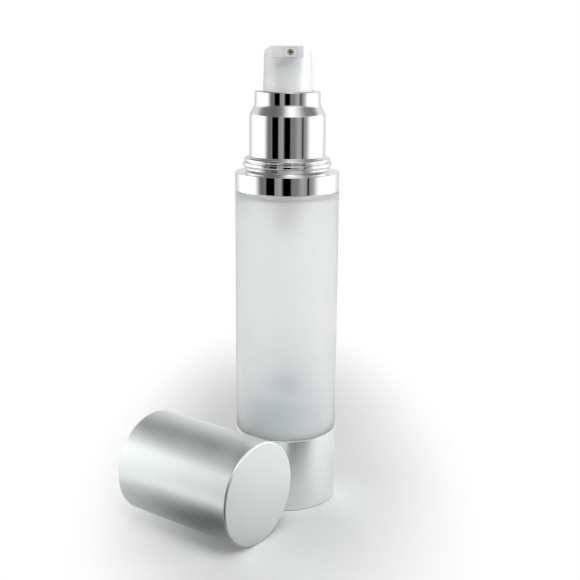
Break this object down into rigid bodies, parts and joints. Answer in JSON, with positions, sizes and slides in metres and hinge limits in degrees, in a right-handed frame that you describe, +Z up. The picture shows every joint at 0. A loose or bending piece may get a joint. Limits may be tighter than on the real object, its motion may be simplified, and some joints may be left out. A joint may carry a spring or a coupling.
{
  "type": "airless pump bottle",
  "caption": "Slim cylindrical airless pump bottle: frosted tube, satin metal base, mirror collar, white press head with a side nozzle, metal cap lying beside it.",
  "frame": {"origin": "where the bottle's axis meets the floor that it stands on", "axes": "+Z up along the bottle's axis, -Y the way the nozzle faces, +X to the right as seen from the front; the cap lies to the front left"},
  "size_m": [0.0732, 0.0719, 0.1571],
  "materials": {
    "satin_aluminium": "satin anodised",
    "mirror_plating": "mirror",
    "frosted_tube": "frosted",
    "head_plastic": "smooth, slightly translucent",
    "insert_plastic": "smooth",
    "follower_plastic": "moulded",
    "white_plastic": "moulded",
    "rubber": "matt",
    "steel": "drawn and polished"
  },
  "bodies": {
    "bottle": {"base_shell": "satin_aluminium", "base_plug": "white_plastic", "bottle_tube": "frosted_tube", "neck_gasket": "rubber", "pump_housing": "white_plastic", "ball_retainer": "white_plastic", "stem_gasket": "rubber", "housing_cap": "white_plastic", "return_spring": "steel", "closure_ring": "white_plastic", "collar_shell": "mirror_plating"},
    "plunger": {"stem": "white_plastic", "piston_rod": "white_plastic"},
    "seal": {"pump_piston": "follower_plastic"},
    "head": {"actuator": "head_plastic", "nozzle_insert": "insert_plastic"},
    "ball": {"inlet_ball": "steel"},
    "follower": {"follower_piston": "follower_plastic"},
    "cap": {"cap_shell": "satin_aluminium", "cap_liner": "white_plastic"}
  },
  "joints": [
    {"name": "head_press", "type": "slide", "parent": "bottle", "child": "plunger", "axis": [0, 0, -1], "range_m": [0, 0.005], "stiffness_N_per_m": 1200, "springref_m": -0.006, "deforming": ["return_spring"]},
    {"name": "head_swivel", "type": "hinge", "parent": "plunger", "child": "head", "pos_m": [0, 0, 0.148], "axis": [0, 0, 1], "continuous": true},
    {"name": "piston_lift", "type": "slide", "parent": "plunger", "child": "seal", "axis": [0, 0, 1], "range_m": [0, 0.0006]},
    {"name": "ball_lift", "type": "slide", "parent": "bottle", "child": "ball", "axis": [0, 0, 1], "range_m": [0, 0.0005]},
    {"name": "follower_rise", "type": "slide", "parent": "bottle", "child": "follower", "axis": [0, 0, 1], "range_m": [0, 0.0674]},
    {"name": "cap_lift", "type": "slide", "parent": "bottle", "child": "cap", "axis": [0, 0, 1], "range_m": [0, 0.0462]}
  ]
}
